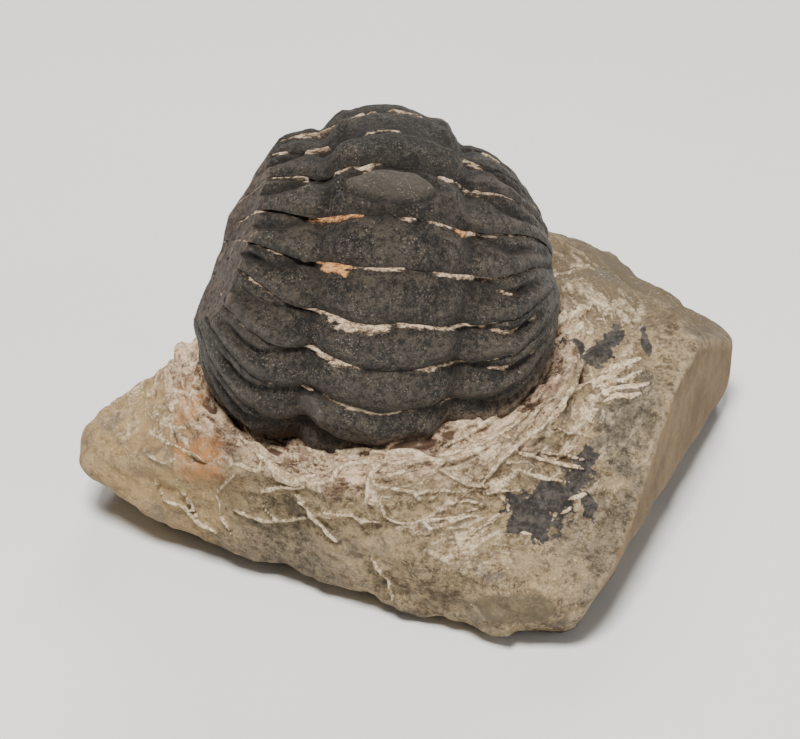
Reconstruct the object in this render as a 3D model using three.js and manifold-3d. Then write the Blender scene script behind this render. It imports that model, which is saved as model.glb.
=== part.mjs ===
// A rolled-up phacops trilobite, black and limy, half buried in the loose
// piece of limestone that it was cleaned out of. Millimetres, +Z up, origin
// under the middle of the stone, on the surface that it lies on.
//
// The fossil is a ball: its segmented back runs over the top and down the
// front, the head lies behind with its two eyes, and the tail meets the head
// inside the stone. Everything on the fossil is placed by two numbers: the
// roll angle (degrees round the ball, 0 at the front, 90 at the top) and the
// share of the half width, from -1 at the left tips to 1 at the right tips.

import * as THREE from 'three';
import { mergeVertices } from 'three/addons/utils/BufferGeometryUtils.js';
import Module from 'manifold-3d';

const BALL_CENTER = [-3.3, -1.1, 22.0];  // middle of the rolled fossil
const BALL_RADIUS = 16.5;                // from there to the crest of the back
const HALF_WIDTH = 15.7;                 // at the top of the roll
const WIDER_BELOW = 0.8;                 // added to it towards the tail
const LEAN = 7.9;                        // degrees that the ball leans to the right
const YAW = 2.5;                         // degrees that it is turned about the vertical

const JOINTS = [129, 111.5, 93, 75.5, 57, 40.5, 23.5, 9.8, -6, -23, -41, -59];  // roll angles, head to tail
const TAIL_TIP = -120;                   // roll angle where the tail meets the head
const SWEEP = 12;                        // degrees that the segments bend forward at their tips
const HINGE = { shift: 2.7, angle: 125 };  // inner point that the segments fan out from

const AXIS_HALF = 0.37;                  // half width of the middle lobe, as a share
const AXIS_HEIGHT = 0.13;                // its height above the flanks, as a share of the radius
const STEP_LOW = 0.55;                   // how far a segment dives under the one before it
const STEP_HIGH = 0.42;                  // how far its back edge stands proud
const LOBE_FOOT = 0.05;                  // how far the middle lobe's foot reaches past its half width
const LOBE_SHARPNESS = 1.3;
const BACK_EDGE_DIP = 0.12;              // how far the very edge sinks again
const SEGMENT_ROWS = [0.01, 0.14, 0.32, 0.58, 0.97];  // places of the rows from a segment's front to its back
const TIP = 0.9;                         // share of the half width past which the relief fades
// the furrow between the lobes, and the one along each segment's flank: depth in mm, the rest as shares
const AXIAL_FURROW = { deep: 0.3, past: 0.02, closing: 0.05, wide: 0.05 };
const PLEURAL_FURROW = { deep: 0.5, from: 0.22, to: 0.62, wide: 0.14 };
const BOSS = { high: 0.4, side: 0.3, wide: 0.07, along: 0.62, long: 0.3 };  // swollen ends of the rings
const CREST_WORN = 0.42;                 // how much lower the top of the roll is
const LOW_LEFT_FULLER = 0.85;            // how much the lower left flank swells out
const LEFT_RISE = { degrees: 4, angle: 23.5, reach: 9 };  // how the joints there rise to their tips
const TAIL_RINGS = { from: -59, long: 8, high: 0.3 };

// the left shoulder is broken off along two planes: outward direction, and distance from the ball's middle
const BREAKS = [
  { out: [-0.855, -0.067, 0.515], depth: 14.85 },
  { out: [-0.912, 0.251, 0.324], depth: 13.5 },
];

// the head's parts: roll angles and lengths in degrees, sides as shares, heights and depths in mm
const NECK_RING = { angle: 135, long: 4, high: 0.35, side: 0.4 };
const NECK_LOBE = { angle: 146, long: 2.5, high: 0.2 };
const NECK_FURROWS = { front: 141.5, behind: 150.5, long: 1.8, deep: 0.6, shallow: 0.5 };
const GLABELLA = { from: 150, to: 226, narrow: 0.32, wide: 0.6, height: 2.4, rise: 14, fall: 12 };
const EYE = { angle: 175, side: 0.62, long: 12, wide: 0.19, height: 2.4, top: 0.45 };
const EYE_MOAT = { at: 1.1, wide: 0.15, deep: 0.5 };
const HEAD_BORDER = { angle: 231, long: 2.2, deep: 0.5 };  // the furrow behind the head's rim
const HEAD_EDGE = 240;

const STONE_HEART = [1, 0, -18];         // a point inside the stone, from the middle of the ball
const STONE_BASE = -22;                  // the flat underside, from the middle of the ball
const STONE_ROUNDNESS = 26;              // higher is sharper
// the stone's broken faces: outward direction, and a point of the face from the middle of the ball
const STONE_FACES = [
  { name: 'top', out: [-0.03, -0.03, 1], at: [0, 0, -7.4] },
  { name: 'front slope', out: [0.14, -0.5, 0.86], at: [2, -19.5, -10.2] },
  { name: 'front left belly', out: [-0.22, -0.93, 0.2], at: [0, -22, -17] },
  { name: 'front right belly', out: [0.05, -0.97, 0.08], at: [12, -24.6, -19] },
  { name: 'right face', out: [0.928, -0.372, 0.02], at: [31.6, 5.4, -8] },
  { name: 'under the right face', out: [0.8, -0.38, -0.46], at: [21.6, -11.4, -22] },
  { name: 'back right', out: [0.757, 0.653, -0.05], at: [33.4, 14.1, -15] },
  { name: 'chipped far corner', out: [0.489, 0.333, 0.806], at: [28.3, 6.6, -7.5] },
  { name: 'back', out: [-0.1, 0.99, 0.05], at: [10, 25, -14] },
  { name: 'back left', out: [-0.8, 0.6, 0.1], at: [-17.5, 9, -12] },
  { name: 'back of the left wedge', out: [-0.46, 0.86, 0.3], at: [-20.5, 2.6, -11.5] },
  { name: 'left tip', out: [-0.97, -0.1, 0.05], at: [-27.6, -3.5, -14] },
  { name: 'left slope', out: [-0.34, -0.05, 0.93], at: [-18, -3, -9.8] },
  { name: 'under the left wedge', out: [-0.5, -0.45, -0.72], at: [-20.9, -7.4, -19.3] },
  { name: 'under the front left', out: [-0.3, -0.62, -0.72], at: [-6.8, -16, -19.8] },
  { name: 'under the front right', out: [0.05, -0.76, -0.65], at: [12, -23.7, -20.1] },
  { name: 'front left', out: [-0.42, -0.88, -0.15], at: [-14, -12.4, -20] },
  { name: 'base', out: [0, 0, -1], at: [0, 0, -23.5] },
];
// height of the stone where it meets the ball, by compass angle round it (0 is right, 90 is behind)
const RIM = [
  [-180, -8.2], [-163, -7.0], [-148, -7.0], [-125, -8.0], [-107, -8.3], [-93, -6.9], [-83, -5.2],
  [-60, -5.0], [-48, -4.6], [-36, -4.0], [-20, -4.2], [10, -5.2], [60, -6.2], [120, -6.6], [155, -8.0],
  [180, -8.2],
];
const RIM_RADIUS = 15.4;                 // distance from the ball's axis where those heights hold
const RIM_REACH = 5.5;                   // and the width of the slope down to the open stone
const RIM_DEPTH = { from: -15, to: -12 };  // heights between which the slope fades out below
const LUMP_HEIGHT = 0.45;                // broad bumps of the broken stone
const SPLIT = { face: 'right face', calm: 0.85, reach: 3 };  // the smooth split, where bumps are lower
const POCKET_GAP = 0.35;                 // clearance all round the fossil in its bed

const FOSSIL_COLOR = 0x4a443e;
const STONE_COLOR = 0xab977c;

const radians = THREE.MathUtils.degToRad;
const clamp = THREE.MathUtils.clamp;

// 0 below a, 1 above b, and an S curve between them; a may be the larger one
function ramp(a, b, t) {
  const u = clamp((t - a) / (b - a), 0, 1);
  return u * u * (3 - 2 * u);
}

function bell(t, width) {
  return Math.exp(-((t / width) ** 2));
}

// A closed surface from a grid that goes round in rows and runs from one pole
// to the other in columns, with a single point at each pole. Each cell is
// split along its shorter diagonal.
function closedSurface(rows, columns, pointAt) {
  const positions = [...pointAt(rows[0], columns[0])];
  for (const row of rows) {
    for (const column of columns.slice(1, -1)) positions.push(...pointAt(row, column));
  }
  positions.push(...pointAt(rows[0], columns[columns.length - 1]));
  const across = columns.length - 2;
  const last = positions.length / 3 - 1;
  const index = [];
  rows.forEach((_, i) => {
    const here = 1 + i * across;
    const next = 1 + ((i + 1) % rows.length) * across;
    index.push(0, here, next, last, next + across - 1, here + across - 1);
    for (let j = 0; j < across - 1; j++) {
      const [a, b, c, d] = [here + j, here + j + 1, next + j + 1, next + j];
      if (gap(positions, a, c) < gap(positions, b, d)) index.push(a, b, c, a, c, d);
      else index.push(a, b, d, b, c, d);
    }
  });
  const geometry = new THREE.BufferGeometry();
  geometry.setAttribute('position', new THREE.Float32BufferAttribute(positions, 3));
  geometry.setIndex(index);
  if (volume(geometry) < 0) geometry.setIndex(index.reverse());
  return geometry;
}

function gap(positions, i, j) {
  return Math.hypot(...[0, 1, 2].map((k) => positions[3 * i + k] - positions[3 * j + k]));
}

function volume(geometry) {
  const [a, b, c] = [new THREE.Vector3(), new THREE.Vector3(), new THREE.Vector3()];
  const { position } = geometry.attributes;
  let sum = 0;
  for (let i = 0; i < geometry.index.count; i += 3) {
    [a, b, c].forEach((corner, k) => corner.fromBufferAttribute(position, geometry.index.getX(i + k)));
    sum += a.dot(b.cross(c)) / 6;
  }
  return sum;
}

function spread(from, to, count) {
  return Array.from({ length: count }, (_, i) => from + ((to - from) * i) / (count - 1));
}

// joins and cuts

const library = await Module();
library.setup();

function solid(geometry) {
  const bare = geometry.clone();
  bare.deleteAttribute('normal');
  bare.deleteAttribute('uv');
  const merged = mergeVertices(bare, 1e-4);
  return new library.Manifold(new library.Mesh({
    numProp: 3,
    vertProperties: new Float32Array(merged.attributes.position.array),
    triVerts: new Uint32Array(merged.index.array),
  }));
}

function geometryOf(cut) {
  const { vertProperties, triVerts } = cut.getMesh();
  const geometry = new THREE.BufferGeometry();
  geometry.setAttribute('position', new THREE.Float32BufferAttribute(vertProperties, 3));
  geometry.setIndex(Array.from(triVerts));
  return geometry;
}

// the fossil

const turn = new THREE.Matrix4().makeRotationZ(radians(YAW));
turn.multiply(new THREE.Matrix4().makeRotationY(radians(LEAN)));

function rollDirection(angle) {
  return new THREE.Vector3(0, -Math.cos(radians(angle)), Math.sin(radians(angle)));
}

// 1 on the lower front of the ball and 0 over its top and back
function lowFront(angle) {
  return ramp(60, 5, angle) * ramp(-150, -75, angle);
}

// height of the body across its width, as a share of the radius
function vault(angle, side) {
  const across = Math.abs(side);
  const boxy = 2.7 + 1.9 * lowFront(angle);
  const flank = (1 - AXIS_HEIGHT) * Math.sqrt(clamp(1 - across ** boxy, 0, 1));
  const lobe = clamp(1 - (across / (AXIS_HALF + LOBE_FOOT)) ** 2, 0, 1) ** LOBE_SHARPNESS;
  const headArch = clamp(1 - across ** 2, 0, 1);
  return flank + AXIS_HEIGHT * THREE.MathUtils.lerp(lobe, headArch, ramp(150, 200, angle));
}

// a segment's line bends towards the head at its tips
function sweep(angle, side) {
  const outer = clamp((Math.abs(side) - 0.45) / 0.55, 0, 1) ** 1.6;
  return SWEEP * outer * ramp(180, 130, angle) * ramp(-115, -60, angle);
}

// the overlapping segments: each dives under the one before it and stands proud at its back edge
function segmentRelief(angle, side) {
  const across = Math.abs(side);
  const tips = ramp(1, TIP, across);
  if (angle > JOINTS[0] || angle <= JOINTS[JOINTS.length - 1]) return 0;
  const k = JOINTS.findIndex((joint, i) => angle <= joint && angle > JOINTS[i + 1]);
  const u = (JOINTS[k] - angle) / (JOINTS[k] - JOINTS[k + 1]);
  const step = -STEP_LOW + (STEP_LOW + STEP_HIGH) * ramp(0, 0.5, u) - BACK_EDGE_DIP * u ** 4;
  const { deep, from, to, wide } = PLEURAL_FURROW;
  const furrowAt = THREE.MathUtils.lerp(from, to, clamp((across - AXIS_HALF) / 0.4, 0, 1));
  const furrow = deep * bell(u - furrowAt, wide) * ramp(0.4, 0.48, across) * ramp(0.88, 0.7, across);
  const boss = BOSS.high * bell(across - BOSS.side, BOSS.wide) * bell(u - BOSS.along, BOSS.long);
  return (step - furrow + boss) * tips;
}

// the groove on each side of the middle lobe, closing in towards the tail
function axialFurrow(angle, side) {
  const { deep, past, closing, wide } = AXIAL_FURROW;
  const middle = AXIS_HALF + past - closing * ramp(20, -50, angle);
  return -deep * bell(Math.abs(side) - middle, wide) * ramp(158, 145, angle) * ramp(-112, -90, angle);
}

// the tail shield: six fading rings with ribs beside them
function tailRelief(angle, side) {
  const { from, long, high } = TAIL_RINGS;
  const along = ramp(from, from - 5, angle) * ramp(-112, -95, angle);
  return high * along * Math.cos(((angle - from) / long) * 2 * Math.PI) * ramp(0.95, 0.75, Math.abs(side));
}

// the neck ring, the swollen glabella, the eyes and the rim of the head
function headRelief(angle, side) {
  const across = Math.abs(side);
  if (angle < JOINTS[0]) return 0;
  const onLobe = ramp(NECK_RING.side + 0.04, NECK_RING.side - 0.04, across);
  const ring = NECK_RING.high * bell(angle - NECK_RING.angle, NECK_RING.long) * onLobe;
  const small = NECK_LOBE.high * bell(angle - NECK_LOBE.angle, NECK_LOBE.long) * onLobe;
  const grooves = NECK_FURROWS.deep * bell(angle - NECK_FURROWS.front, NECK_FURROWS.long)
    + NECK_FURROWS.shallow * bell(angle - NECK_FURROWS.behind, NECK_FURROWS.long) * ramp(0.6, 0.4, across);
  const { from, to, narrow, wide, height, rise, fall } = GLABELLA;
  const half = THREE.MathUtils.lerp(narrow, wide, ramp(from, to, angle));
  const dome = ramp(from, from + rise, angle) * ramp(to, to - fall, angle);
  const glabella = height * dome * ramp(half + 0.07, half - 0.12, across);
  const fromEye = Math.hypot((angle - EYE.angle) / EYE.long, (across - EYE.side) / EYE.wide);
  const eye = EYE.height * ramp(1, EYE.top, fromEye)
    - EYE_MOAT.deep * bell(fromEye - EYE_MOAT.at, EYE_MOAT.wide);
  const border = -HEAD_BORDER.deep * bell(angle - HEAD_BORDER.angle, HEAD_BORDER.long);
  return (ring + small - grooves + glabella + eye + border) * ramp(1, 0.93, across);
}

// the worn crest, and the lower left flank that stands out further than the right one
function unevenBulk(angle, side) {
  const crest = ramp(60, 95, angle) * ramp(165, 135, angle);
  const lowLeft = ramp(-0.3, -0.6, side) * ramp(-60, -30, angle) * ramp(30, 5, angle);
  return LOW_LEFT_FULLER * lowLeft - CREST_WORN * crest;
}

function bodyPoint(angle, side, lift) {
  const hinge = rollDirection(HINGE.angle).multiplyScalar(HINGE.shift);
  const crest = rollDirection(angle).multiplyScalar(BALL_RADIUS + lift);
  const point = hinge.clone().lerp(crest, vault(angle, side));
  point.x = side * (HALF_WIDTH + WIDER_BELOW * lowFront(angle) + 0.5 * lift * Math.abs(side));
  return point.applyMatrix4(turn);
}

function fossilPoint(angle, side) {
  const { degrees, angle: risen, reach } = LEFT_RISE;
  const rise = degrees * bell(angle - risen, reach) * ramp(-0.4, -0.75, side) * ramp(-1, -TIP, side);
  const lift = segmentRelief(angle, side) + axialFurrow(angle, side) + tailRelief(angle, side)
    + headRelief(angle, side) + unevenBulk(angle, side);
  return bodyPoint(angle + sweep(angle, side) + rise, side, lift).toArray();
}

// the bed that the stone keeps for the fossil: its smooth form, a little larger all round
function bedPoint(angle, side) {
  const bulk = Math.max(STEP_HIGH + BOSS.high, headRelief(angle, side)) + unevenBulk(angle, side);
  const point = bodyPoint(angle, side, bulk + POCKET_GAP);
  return point.multiplyScalar(1 + POCKET_GAP / BALL_RADIUS).toArray();
}

function fossilRows() {
  const rows = [];
  for (let k = 0; k < JOINTS.length - 1; k++) {
    const length = JOINTS[k] - JOINTS[k + 1];
    for (const u of SEGMENT_ROWS) rows.push(JOINTS[k] - u * length);
  }
  const [head, tail] = [JOINTS[0], JOINTS[JOINTS.length - 1]];
  rows.push(...spread(tail - 1, TAIL_TIP + 3, 12));
  rows.push(...spread(HEAD_EDGE, head + 26, 18), ...spread(head + 22, head + 1, 6));
  return rows;
}

function fossilColumns(count) {
  return spread(-1, 1, count).map((s) => Math.sin((s * Math.PI) / 2));
}

function trilobite() {
  let whole = solid(closedSurface(fossilRows(), fossilColumns(31), fossilPoint));
  for (const { out, depth } of BREAKS) {
    const normal = new THREE.Vector3(...out).normalize();
    whole = whole.trimByPlane(normal.negate().toArray(), -depth);
  }
  const geometry = geometryOf(whole);
  const material = new THREE.MeshStandardMaterial({ color: FOSSIL_COLOR, roughness: 0.62, metalness: 0 });
  const mesh = new THREE.Mesh(geometry, material);
  mesh.name = 'trilobite';
  return mesh;
}

// the stone

const heart = new THREE.Vector3(...STONE_HEART);
const faces = STONE_FACES.map(({ out, at }) => {
  const normal = new THREE.Vector3(...out).normalize();
  return { normal, distance: normal.dot(new THREE.Vector3(...at).sub(heart)) };
});

// distance from the heart to the surface: the nearest face along the way, with rounded edges
function stoneReach(direction) {
  let sum = 0;
  for (const { normal, distance } of faces) {
    sum += Math.max(0, direction.dot(normal) / distance) ** STONE_ROUNDNESS;
  }
  return sum ** (-1 / STONE_ROUNDNESS);
}

function rimHeight(compass) {
  const k = clamp(RIM.findIndex(([angle]) => angle > compass) - 1, 0, RIM.length - 2);
  const [[fromAngle, from], [toAngle, to]] = [RIM[k], RIM[k + 1]];
  return THREE.MathUtils.lerp(from, to, ramp(fromAngle, toAngle, compass));
}

// three crossed swells a centimetre or two long
function lumps({ x, y, z }) {
  const crossed = Math.sin(0.55 * x + 0.31 * y + 0.4 * z) * Math.sin(0.47 * y - 0.22 * x + 0.5 * z + 1.3);
  return LUMP_HEIGHT * (crossed + 0.5 * Math.sin(0.9 * y + 0.35 * x - 0.6 * z + 0.4));
}

const split = faces[STONE_FACES.findIndex(({ name }) => name === SPLIT.face)];

function stonePoint(compass, tilt) {
  const [a, b] = [radians(compass), radians(tilt)];
  const direction = new THREE.Vector3(Math.cos(a) * Math.sin(b), Math.sin(a) * Math.sin(b), Math.cos(b));
  const point = direction.clone().multiplyScalar(stoneReach(direction)).add(heart);
  const belowSplit = split.distance - split.normal.dot(point.clone().sub(heart));
  point.addScaledVector(direction, lumps(point) * (1 - SPLIT.calm * ramp(SPLIT.reach, 0, belowSplit)));
  const near = ramp(RIM_RADIUS + RIM_REACH, RIM_RADIUS, Math.hypot(point.x, point.y))
    * ramp(RIM_DEPTH.from, RIM_DEPTH.to, point.z);
  const rim = rimHeight(THREE.MathUtils.radToDeg(Math.atan2(point.y, point.x)));
  point.z = Math.max(THREE.MathUtils.lerp(point.z, rim, near), STONE_BASE);
  return point.toArray();
}

function matrix() {
  const compass = spread(-180, 180, 73).slice(0, -1);
  const tilt = [0, 22, 36, ...spread(44, 82, 18), ...spread(85, 94, 4), ...spread(96, 106, 6), 120, 180];
  const block = closedSurface(compass, tilt, stonePoint);
  const bed = closedSurface(spread(-120, 230, 36), fossilColumns(21), bedPoint);
  const geometry = geometryOf(solid(block).subtract(solid(bed)));
  const material = new THREE.MeshStandardMaterial({ color: STONE_COLOR, roughness: 0.85, metalness: 0 });
  const mesh = new THREE.Mesh(geometry, material);
  mesh.name = 'matrix';
  return mesh;
}

const part = new THREE.Group();
part.add(matrix(), trilobite());
part.position.set(...BALL_CENTER);

export default part;
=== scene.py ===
import bpy
import numpy as np
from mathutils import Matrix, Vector


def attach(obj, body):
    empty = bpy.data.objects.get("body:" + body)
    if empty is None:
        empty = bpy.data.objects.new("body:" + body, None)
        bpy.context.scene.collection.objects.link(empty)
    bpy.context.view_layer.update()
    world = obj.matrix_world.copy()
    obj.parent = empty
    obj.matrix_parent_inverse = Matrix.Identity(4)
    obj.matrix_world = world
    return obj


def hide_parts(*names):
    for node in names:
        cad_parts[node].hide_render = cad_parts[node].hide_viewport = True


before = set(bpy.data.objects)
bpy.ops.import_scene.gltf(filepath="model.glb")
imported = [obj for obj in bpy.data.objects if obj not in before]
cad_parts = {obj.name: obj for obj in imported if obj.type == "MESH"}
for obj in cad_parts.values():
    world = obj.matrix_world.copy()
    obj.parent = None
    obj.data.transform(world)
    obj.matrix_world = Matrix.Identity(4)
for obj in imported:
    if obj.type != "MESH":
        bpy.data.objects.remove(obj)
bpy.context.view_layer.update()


# The camera looks down on the back of the rolled fossil from a copy stand's distance. The fossil sits a
# little above and left of the picture's middle.
BALL = np.array([-3.3, -1.1, 22.0])  # middle of the rolled fossil in the part's frame
METRE = 0.001
LOOK_DOWN = np.radians(35.0)
CAMERA_DISTANCE = 250.0
FILM_WIDTH = 36.0
PICTURE = (800, 739)
FOSSIL_IN_PICTURE = (375.0, 290.0)  # pixel of the ball's middle
MM_PER_PIXEL = 0.09


def in_scene(name, data):
    """A new object of the scene that shows the given mesh, lamp or camera."""
    thing = bpy.data.objects.new(name, data)
    bpy.context.scene.collection.objects.link(thing)
    return thing


to_camera = np.array([0, -np.cos(LOOK_DOWN), np.sin(LOOK_DOWN)])
picture_up = np.array([0, np.sin(LOOK_DOWN), np.cos(LOOK_DOWN)])
aim = np.array([PICTURE[0] / 2 - FOSSIL_IN_PICTURE[0], 0, 0]) * MM_PER_PIXEL
aim = aim - picture_up * (PICTURE[1] / 2 - FOSSIL_IN_PICTURE[1]) * MM_PER_PIXEL
camera_data = bpy.data.cameras.new("camera")
camera_data.lens = FILM_WIDTH * CAMERA_DISTANCE / (PICTURE[0] * MM_PER_PIXEL)
camera_data.sensor_width = FILM_WIDTH
camera_data.clip_start = 0.01
camera = in_scene("camera", camera_data)
camera.location = (BALL + aim + to_camera * CAMERA_DISTANCE) * METRE
camera.rotation_euler = (np.pi / 2 - LOOK_DOWN, 0, 0)
bpy.context.scene.camera = camera


# The studio is a pale floor, one broad soft lamp high on the left in front, a weaker one on the right, one
# behind for the rim of the ball, and an even grey room.
def add(kind, inputs=None, **settings):
    """A node in the material in hand: settings are its own properties, inputs are values or other nodes'
    outputs by socket."""
    node = tree.nodes.new("ShaderNode" + kind)
    for key, value in settings.items():
        setattr(node, key, value)
    for socket, value in (inputs or {}).items():
        if isinstance(value, bpy.types.NodeSocket):
            tree.links.new(value, node.inputs[socket])
        else:
            node.inputs[socket].default_value = value
    return node


def finish_of(name, roughness):
    """A new material, its node tree, which add() works on when it is named tree, and its surface shader."""
    material = bpy.data.materials.new(name)
    material.use_nodes = True
    shader = material.node_tree.nodes["Principled BSDF"]
    shader.inputs["Roughness"].default_value = roughness
    return material, material.node_tree, shader


def lamp(name, place, size, watts, tint):
    """A square soft lamp at a place in mm, turned to face the fossil."""
    data = bpy.data.lights.new(name, "AREA")
    data.size = size * METRE
    data.energy = watts
    data.color = tint
    light = in_scene(name, data)
    light.location = Vector(np.array(place) * METRE)
    light.rotation_euler = (light.location - Vector(BALL * METRE)).to_track_quat("Z", "Y").to_euler()


FLOOR_SIDE = 3000.0
floor_mesh = bpy.data.meshes.new("floor")
half = FLOOR_SIDE / 2 * METRE
corners = [(-half, -half, 0), (half, -half, 0), (half, half, 0), (-half, half, 0)]
floor_mesh.from_pydata(corners, [], [(0, 1, 2, 3)])
floor = in_scene("floor", floor_mesh)
floor_paint, tree, shader = finish_of("pale_floor", 0.8)
floor_grain = add("TexNoise", {"Scale": 60.0, "Detail": 3.0})
floor_tone = add("ValToRGB", {"Fac": floor_grain.outputs["Fac"]})
floor_tone.color_ramp.elements[0].color = (0.74, 0.74, 0.73, 1)
floor_tone.color_ramp.elements[1].color = (0.80, 0.80, 0.79, 1)
tree.links.new(floor_tone.outputs["Color"], shader.inputs["Base Color"])
floor_mesh.materials.append(floor_paint)

lamp("key_lamp", (-45, -190, 500), 140, 5.4, (1.0, 0.97, 0.92))
lamp("fill_lamp", (380, -240, 220), 320, 0.6, (0.95, 0.97, 1.0))
lamp("rim_lamp", (60, 380, 300), 200, 1.2, (1.0, 0.98, 0.95))
room = bpy.data.worlds.new("room")
room.use_nodes = True
air = room.node_tree.nodes["Background"].inputs
air["Color"].default_value = (0.8, 0.82, 0.85, 1)
air["Strength"].default_value = 0.14
bpy.context.scene.world = room


# The matrix is the loose piece of limestone: a block with broken faces, the right one smooth, whose top was
# scribed away round the fossil. It keeps a bed under the ball, and lies on its flat underside.
STONE_HEART = np.array([1.0, 0.0, -18.0])
STONE_BASE = -22.0
STONE_ROUNDNESS = (30.0, 80.0)  # of the worn left side and of the fresh right side
STONE_FACES = {  # outward direction, and a point of the face
    "top": ((-0.03, -0.03, 1), (0, 0, -7.4)),
    "front slope": ((0.14, -0.5, 0.86), (2, -19.5, -10.2)),
    "front left belly": ((-0.22, -0.93, 0.2), (0, -22, -17)),
    "front right belly": ((0.05, -0.97, 0.08), (12, -24.6, -19)),
    "right face": ((0.928, -0.372, 0.02), (31.6, 5.4, -8)),
    "under the right face": ((0.8, -0.38, -0.46), (21.6, -11.4, -22)),
    "back right": ((0.757, 0.653, -0.05), (33.4, 14.1, -15)),
    "chipped far corner": ((0.489, 0.333, 0.806), (28.3, 6.6, -7.5)),
    "back": ((-0.1, 0.99, 0.05), (10, 25, -14)),
    "back left": ((-0.8, 0.6, 0.1), (-17.5, 9, -12)),
    "back of the left wedge": ((-0.46, 0.86, 0.3), (-20.5, 2.6, -11.5)),
    "left tip": ((-0.97, -0.1, 0.05), (-27.6, -3.5, -14)),
    "left slope": ((-0.34, -0.05, 0.93), (-18, -3, -9.8)),
    "under the left wedge": ((-0.5, -0.45, -0.72), (-20.9, -7.4, -19.3)),
    "under the front left": ((-0.3, -0.62, -0.72), (-6.8, -16.0, -19.8)),
    "under the front right": ((0.05, -0.76, -0.65), (12, -23.7, -20.1)),
    "front left": ((-0.42, -0.88, -0.15), (-14, -12.4, -20)),
    "base": ((0, 0, -1), (0, 0, -23.5)),
}
RIM_COMPASS = np.array([-180, -163, -148, -125, -107, -93, -83, -60, -48, -36, -20, 10, 60, 120, 155, 180])
RIM_HEIGHT = -np.array([8.2, 7.0, 7.0, 8.0, 8.3, 6.9, 5.2, 5.0, 4.6, 4.0, 4.2, 5.2, 6.2, 6.6, 8.0, 8.2])
RIM_RADIUS = 15.4
RIM_REACH = 5.5
LUMP_HEIGHT = 0.45
SPLIT_CALM = 0.85  # how much lower the lumps are on the smooth split
SPLIT_REACH = 3.0
STONE_COLUMNS = 430
FRONT_SHARE = 0.4  # how much closer the grid's columns stand at the front than at the back
BED_ROWS = 12
BED_EDGE = 46.0  # degrees from straight up, seen from the heart, where the top turns down into the bed
BED_BOTTOM = -14.6
CRUMBS = (0.36, 0.2)  # heights in mm of the coarse and the fine roughness
CHIP_DEPTH = 0.5
STRAND_HEIGHT = 0.3
RIDGE_HEIGHT = 0.45
RIDGE_PEAK = 1.5  # by how many half widths a ridge falls to nothing
RIDGE_WANDER, RIDGE_WAVER = 1.8, 0.35  # pixels off its line, and share of its width
SCOOP_DEPTH = 0.55  # between the strands and ridges
MOAT = {"radius": 16.4, "width": 0.7, "depth": 0.6}  # the dug-out line round the fossil
CRUST = {"radius": 18.4, "width": 1.1, "height": 0.6, "coarse": 0.75}
SCRIBED_TO = (31, 20)  # mm from the ball's axis where the scribe's marks end, and where they are full
CRUST_TO = (22.5, 19.0)
SPLIT_REST = 3.5  # mm behind the smooth split where the roughness is full again

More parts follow.
